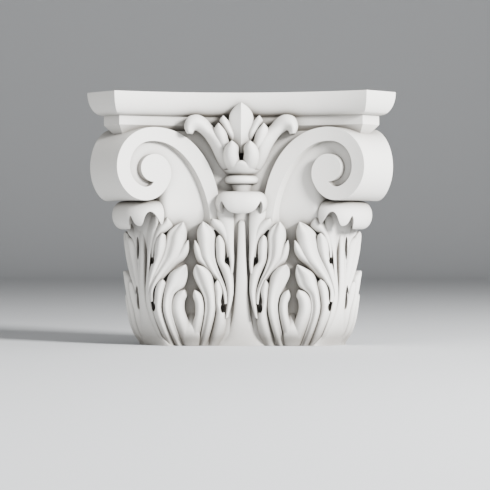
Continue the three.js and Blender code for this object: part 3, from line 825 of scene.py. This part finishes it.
def corner_volute(size):
    top = (EYE_OUT, EYE_HEIGHT + size.volute_radius)
    under = (EYE_OUT, EYE_HEIGHT + size.volute_radius - size.band_width)
    stalk_outer = bezier(top, (2.5, 208), (-12.4, 159.3), (-10.5, FACE_FOOT + 8.0), 30)[::-1]
    stalk_inner = bezier(under, (12, 194.8), (-5.2, 143), (-3.2, FACE_FOOT), 30)
    half_turn = np.linspace(0, math.pi, 60)
    outline = np.concatenate((
        stalk_outer[:-1],
        sweep(half_turn, outer_radius(half_turn, size)),
        sweep(half_turn[1:31] + math.pi, outer_radius(half_turn[1:31] + math.pi, size)),
        [(26, 150), (-4, 132), (-6, FACE_FOOT)],
    ))
    full_turn = np.linspace(0, 2 * math.pi, 120)
    eye_turn = np.linspace(0, math.pi * 0.98, 40)[1:]
    back_turn = np.linspace(math.pi * 0.97, 0, 50)
    band = np.concatenate((
        stalk_outer[:-1],
        sweep(full_turn, outer_radius(full_turn, size)),
        sweep(eye_turn, np.full(len(eye_turn), size.eye_radius)),
        sweep(back_turn, inner_radius(back_turn, size)),
        stalk_inner[1:],
    ))
    ground = combined("ground", [face_plan(size.band_relief, size)], "INTERSECT",
                      as_object("ground", across_mitre(outline, size)))
    raised = combined("raised", [face_plan(0.0, size)], "INTERSECT",
                      as_object("raised", across_mitre(band, size)))
    return shape_of(ground), shape_of(raised)


# ------------------------------------------------------------------ fleuron

def flower_ground(x, z):
    """Depth that the flower's petals rise from, which comes forward under the abacus"""
    return 31.0 + 13.0 * smooth((z - 160.0) / 45.0)


FLOWER_PETALS = [
    # outer petal that ends in a ball
    {
        "stations": [
            (13, 162, 1, 164, 3), (19.5, 170, 4, 173, 6), (24.5, 180, 8, 184, 8),
            (28.8, 189.5, 13, 195, 8), (34, 197.5, 20, 204, 6.5), (38, 202, 27.5, 209.5, 6.5),
            (41.6, 204.6, 33, 216, 8), (43.4, 205.4, 41, 220, 10), (44.4, 204.8, 50, 218, 11),
            (45.2, 203.4, 53.8, 209.5, 11), (46.4, 201.8, 51.4, 202, 10),
        ],
        "plump": 0.6,
    },
    # its inner leaflet
    {
        "stations": [
            (12, 176, 4, 178, -2), (19, 188, 9, 188, 8), (24, 199, 12, 196, 9),
            (25.6, 206, 14.5, 204, 8.5), (21.6, 212, 21.2, 212, 8),
        ],
        "plump": 0.4,
    },
    # side lobe of the palmette
    {
        "stations": [
            (9, 188, 3, 190, -2), (12.4, 201, 7, 202, 6), (18, 209.5, 10, 210, 6),
            (20.4, 214.5, 12.2, 214.5, 6), (17.4, 219, 16.6, 219, 6),
        ],
        "plump": 0.4,
    },
    # half of the bud
    {
        "stations": [
            (7, 164, -1, 168, 9), (13.4, 169, 0, 172, 14), (16.4, 176, 1.6, 177, 17.5),
            (16.8, 183.5, 2.6, 183, 18), (14.6, 190, 2.8, 190, 16.5), (9, 195, 8.2, 195, 15),
        ],
        "plump": 0.75,
        "dome": 2.2,
    },
]

# Foot of the bud, that joins its halves under the slot
BUD_FOOT = {
    "stations": [
        (-9, 163, 9, 163, 9), (-12.4, 167, 12.4, 167, 13.4), (-12, 171, 12, 171, 16),
        (-7, 174.5, 7, 174.5, 17), (-3, 176.6, 3, 176.6, 16),
    ],
    "dome": 2.2,
}

PALMETTE = {
    "stations": [
        (-6, 184, 6, 184, 7), (-10.5, 204, 10.5, 204, 8), (-11.8, 213, 11.8, 213, 8.4),
        (-10.6, 221, 10.6, 221, 8.2), (-6.6, 227, 6.6, 227, 7.6), (-0.3, 231.5, 0.3, 231.5, 7),
    ],
    "dome": 1.0,
}


def turned(levels, axis_depth):
    """A turned shape on the centre line: (height, radius) levels round an upright axis"""
    a = np.linspace(0.0, 2 * math.pi, 48, endpoint=False)
    return loft([front(r * np.cos(a), axis_depth + r * np.sin(a), z) for z, r in levels])


# Turned parts of the flower, (height, radius) levels from the bottom up
FLOWER_AXIS, CUP_AXIS = 31.0, 28.0      # their axes' distance from the flat back
NECK = [(143, 9), (150, 8.6), (154, 10)]
RING = [
    (158.6 + 3.9 * math.sin(a), 12.8 + 3.5 * math.cos(a)) for a in np.linspace(-1.57, 1.57, 12)
]
CUP = [
    (162.0 + 12.0 * (1 - math.cos(a)), 5.0 + 15.0 * math.sin(a)) for a in np.linspace(0.0, 1.05, 12)
]


def fleuron(size):
    petals = [lobe(size, ground=flower_ground, **petal) for petal in FLOWER_PETALS]
    parts = [lobe(size, ground=flower_ground, **shape) for shape in (PALMETTE, BUD_FOOT)]
    parts += petals
    parts += [(flipped(points), faces) for points, faces in petals]
    parts += [turned(NECK, FLOWER_AXIS), turned(RING, FLOWER_AXIS), turned(CUP, CUP_AXIS)]
    return parts


# ------------------------------------------------------------------ the casting

def capital_shapes(size):
    ground = leaf_ground(size)
    corner = corner_placer(size)
    right = [lobe(size, ground=ground, **shape) for shape in CORNER_LOBES + [CLEFT_LOBE]]
    flank = [lobe(size, ground=ground, **side_lobe(shape)) for shape in CORNER_LOBES]
    right += [(mitred(points, size), faces) for points, faces in flank]
    right += [stem(size, CORNER_STEM, lambda x, z: LEAF_CORNER(z), corner)]
    right += [curl(corner, CORNER_CURL), leaf_back(corner, CORNER_CURL)]
    right += [lobe(size, ground=ground, **shape) for shape in MIDDLE_LOBES]
    right += corner_volute(size)
    middle = [bell(size), abacus(size), stem(size, MIDDLE_STEM, lambda x, z: STEM_DEPTH(z))]
    middle += [curl(front, MIDDLE_CURL), leaf_back(front, MIDDLE_CURL)]
    middle += fleuron(size)
    return middle + right + [(flipped(points), faces) for points, faces in right]


def drills(size):
    right = [eye(*measures) for measures in MIDDLE_EYES + CORNER_EYES]
    right += [eye(*measures, corner_placer(size)) for measures in FLANK_EYES]
    return right + [(flipped(points), faces) for points, faces in right]


def envelope(size):
    """Everything in front of the wall, between the shaft and the top bed, its back in small panels"""
    back = np.linspace(-200.0, 200.0, 21)
    plan = np.concatenate((front(back, 0.0, 0.0), front(back[[-1, 0]], 120.0, 0.0)))
    return loft([plan + (0.0, 0.0, z) for z in np.linspace(0.0, size.height, 13)])


FLAT = 1e-6                      # metres off a plane that still count as on it
CREASE = math.radians(38.0)      # edges sharper than this stay crisp


def crease_edges(mesh, limit):
    """Smooth shading that keeps edges sharper than an angle crisp, and the flat beds flat"""
    work = bmesh.new()
    work.from_mesh(mesh)
    points = np.array([vert.co for vert in work.verts])
    back, under, top = points[:, 1].max(), points[:, 2].min(), points[:, 2].max()

    def on_bed(vert):
        """Whether a vertex lies on the back, on the underside and on the top"""
        x, y, z = vert.co
        return (abs(y - back) < FLAT, abs(z - under) < FLAT, abs(z - top) < FLAT)

    beds = {face for face in work.faces if any(map(all, zip(*map(on_bed, face.verts))))}
    for face in work.faces:
        face.smooth = face not in beds
    for edge in work.edges:
        edge.smooth = edge.calc_face_angle(math.pi) < limit and beds.isdisjoint(edge.link_faces)
    work.to_mesh(mesh)
    work.free()


def to_frame():
    """Millimetres with the back on y = 0, to metres in the frame"""
    return Matrix.Diagonal((MM, MM, MM, 1.0)) @ Matrix.Translation((0.0, WALL_Y, 0.0))


class CAPITAL_OT_casting(bpy.types.Operator):
    """Casts the capital: abacus, flower, volutes, bell and leaves as one piece"""

    bl_idname = "capital.casting"
    bl_label = "Cast the capital"

    def execute(self, context):
        size = sizes()
        whole = combined("capital_casting", capital_shapes(size))
        whole = combined("capital_casting", drills(size), "DIFFERENCE", whole)
        whole = combined("capital_casting", [envelope(size)], "INTERSECT", whole)
        outer_skin(whole.data)
        whole.data.transform(to_frame())
        crease_edges(whole.data, CREASE)
        whole.data.materials.clear()
        whole.data.materials.append(cast_plaster(context.scene.plaster_finish))
        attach(whole, "root")
        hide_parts("capital")
        return {"FINISHED"}


# ------------------------------------------------------------------ materials

def linear(hex_colour):
    """An sRGB hex colour as linear RGBA"""
    channels = [int(hex_colour[i:i + 2], 16) / 255.0 for i in (0, 2, 4)]
    return [c / 12.92 if c <= 0.04045 else ((c + 0.055) / 1.055) ** 2.4 for c in channels] + [1.0]


def node(tree, kind, settings=None, inputs=None, links=None):
    """Adds a node with its settings, its input values and the sockets that feed it"""
    new = tree.nodes.new(kind)
    for name, value in (settings or {}).items():
        setattr(new, name, value)
    for name, value in (inputs or {}).items():
        new.inputs[name].default_value = value
    for name, socket in (links or {}).items():
        tree.links.new(socket, new.inputs[name])
    return new


def new_material(name):
    material = bpy.data.materials.new(name)
    material.use_nodes = True
    material.node_tree.nodes.clear()
    return material


MIX_A, MIX_B, MIX_RESULT = 6, 7, 2      # the colour sockets of a Mix node, which share their names


def cast_plaster(finish):
    """Gypsum plaster cast in a rubber mould and primed matt off-white

    The eye gets a chalky, even light, a painted shade that darkens the coat in the
    hollows by ambient occlusion, and a grain so fine that it only softens the highlights.
    """
    material = new_material("primed_cast_gypsum_plaster")
    tree = material.node_tree
    place = node(tree, "ShaderNodeNewGeometry").outputs["Position"]
    # Painted shade: ambient occlusion finds the hollows, and the hollow colour is mixed into the coat there,
    # darkening creases and recesses as shade would
    openness = node(tree, "ShaderNodeAmbientOcclusion", {"samples": 8}, {"Distance": finish.shade_reach})
    open_share = node(tree, "ShaderNodeMapRange", None, {
        "From Min": 0.2,
        "From Max": 0.97,
    }, {"Value": openness.outputs["AO"]})
    coat = node(tree, "ShaderNodeMix", {"data_type": "RGBA"}, {
        MIX_A: linear(finish.hollow),
        MIX_B: linear(finish.coat),
    }, {"Factor": open_share.outputs["Result"]})
    cloud = node(tree, "ShaderNodeTexNoise", None, {
        "Scale": 1.0 / finish.mottle,
        "Detail": 3.0,
    }, {"Vector": place})
    value = node(tree, "ShaderNodeMapRange", None, {
        "To Min": 0.965,
        "To Max": 1.03,
    }, {"Value": cloud.outputs["Fac"]})
    clouded = node(tree, "ShaderNodeHueSaturation", None, None, {
        "Color": coat.outputs[MIX_RESULT],
        "Value": value.outputs["Result"],
    })
    grain = node(tree, "ShaderNodeTexNoise", None, {
        "Scale": 1.0 / finish.grain,
        "Detail": 2.0,
    }, {"Vector": place})
    rounded = node(tree, "ShaderNodeBevel", {"samples": 6}, {"Radius": finish.edge})
    bump = node(tree, "ShaderNodeBump", None, {"Strength": 0.12, "Distance": 0.08 * MM}, {
        "Height": grain.outputs["Fac"], "Normal": rounded.outputs["Normal"]})
    shader = node(tree, "ShaderNodeBsdfPrincipled", None, {"Roughness": finish.roughness, "IOR": 1.5}, {
        "Base Color": clouded.outputs["Color"], "Normal": bump.outputs["Normal"]})
    node(tree, "ShaderNodeOutputMaterial", None, None, {"Surface": shader.outputs["BSDF"]})
    return material


def painted_board(colour):
    """Board painted matt for a studio floor: pale and even, so the object stands out"""
    material = new_material("matt_painted_board")
    tree = material.node_tree
    shader = node(tree, "ShaderNodeBsdfPrincipled", None, {"Base Color": linear(colour), "Roughness": 0.9})
    node(tree, "ShaderNodeOutputMaterial", None, None, {"Surface": shader.outputs["BSDF"]})
    return material


# ------------------------------------------------------------------ stage

def backdrop(settings):
    """A floor that sweeps up into a wall, far enough behind to leave room to walk round the capital"""
    depth, radius, high, ahead, half_width = 3.6, 1.2, 4.0, 5.0, 6.0
    turns = np.linspace(0.0, math.pi / 2, 17)
    section = [(-ahead, 0.0)]
    section += [(depth + radius * math.sin(a), radius * (1 - math.cos(a))) for a in turns]
    section.append((depth + radius, high))
    points = [(x, y, z) for x in (-half_width, half_width) for y, z in section]
    count = len(section)
    faces = [(i, i + count, i + count + 1, i + 1) for i in range(count - 1)]
    mesh = bpy.data.meshes.new("studio_floor")
    mesh.from_pydata(points, [], faces)
    for polygon in mesh.polygons:
        polygon.use_smooth = True
    mesh.materials.append(painted_board(settings.floor))
    floor = bpy.data.objects.new("studio_floor", mesh)
    bpy.context.scene.collection.objects.link(floor)
    floor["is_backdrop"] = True


def softbox(name, place, target, width, power):
    """A square diffused light that faces a target"""
    data = bpy.data.lights.new(name, "AREA")
    data.size = width
    data.energy = power
    lamp = bpy.data.objects.new(name, data)
    lamp.location = place
    lamp.rotation_euler = (Vector(target) - Vector(place)).to_track_quat("-Z", "Y").to_euler()
    bpy.context.scene.collection.objects.link(lamp)


def studio_light():
    """A key from the right, a weak fill from the left and a little light from above"""
    middle = (0.0, 0.0, 0.13)
    softbox("key", (1.5, -1.25, 0.85), middle, 0.45, 185.0)
    softbox("fill", (-1.3, -1.4, 0.7), middle, 0.8, 11.0)
    softbox("overhead", (0.0, -0.5, 1.7), middle, 1.0, 9.0)
    world = bpy.data.worlds.new("studio")
    world.use_nodes = True
    world.node_tree.nodes["Background"].inputs["Color"].default_value = (1.0, 1.0, 1.0, 1.0)
    world.node_tree.nodes["Background"].inputs["Strength"].default_value = 0.16
    bpy.context.scene.world = world


def add_camera(settings):
    """A long lens, level with the lower leaves, that looks straight at the front"""
    data = bpy.data.cameras.new("camera")
    data.sensor_width = 36.0
    data.lens = data.sensor_width * settings.distance / settings.span
    data.clip_end = 20.0
    camera = bpy.data.objects.new("camera", data)
    target = Vector((settings.eye_side, CAD_HIGH.y, settings.eye_height))
    away = Vector((math.sin(settings.turn), -math.cos(settings.turn), 0.0))
    camera.location = target + away * settings.distance
    camera.rotation_euler = (target - camera.location).to_track_quat("-Z", "Y").to_euler()
    bpy.context.scene.collection.objects.link(camera)
    bpy.context.scene.camera = camera


class CAPITAL_OT_stage(bpy.types.Operator):
    """Sets the floor, the studio lights and the camera"""

    bl_idname = "capital.stage"
    bl_label = "Set the stage"

    def execute(self, context):
        settings = context.scene.stage_settings
        backdrop(settings)
        studio_light()
        add_camera(settings)
        return {"FINISHED"}


# ------------------------------------------------------------------ add-on

class CAPITAL_PT_panel(bpy.types.Panel):
    bl_idname = "CAPITAL_PT_panel"
    bl_label = "Corinthian capital"
    bl_space_type = "VIEW_3D"
    bl_region_type = "UI"
    bl_category = "Capital"

    def draw(self, context):
        for group in ("capital_sizes", "plaster_finish", "stage_settings"):
            settings = getattr(context.scene, group)
            box = self.layout.box()
            for name in settings.__annotations__:
                box.prop(settings, name)
        self.layout.operator(CAPITAL_OT_casting.bl_idname)
        self.layout.operator(CAPITAL_OT_stage.bl_idname)


CLASSES = (CapitalSizes, PlasterFinish, StageSettings, CAPITAL_OT_casting, CAPITAL_OT_stage, CAPITAL_PT_panel)


def register():
    for cls in CLASSES:
        bpy.utils.register_class(cls)
    bpy.types.Scene.capital_sizes = bpy.props.PointerProperty(type=CapitalSizes)
    bpy.types.Scene.plaster_finish = bpy.props.PointerProperty(type=PlasterFinish)
    bpy.types.Scene.stage_settings = bpy.props.PointerProperty(type=StageSettings)


def unregister():
    del bpy.types.Scene.stage_settings
    del bpy.types.Scene.plaster_finish
    del bpy.types.Scene.capital_sizes
    for cls in reversed(CLASSES):
        bpy.utils.unregister_class(cls)


def main():
    register()
    bpy.ops.capital.casting()
    bpy.ops.capital.stage()
    boxes = {"cad": CAD_BOX, "visual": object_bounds()}
    plain = {name: [list(map(float, point)) for point in box] for name, box in boxes.items()}


if __name__ == "__main__":
    main()
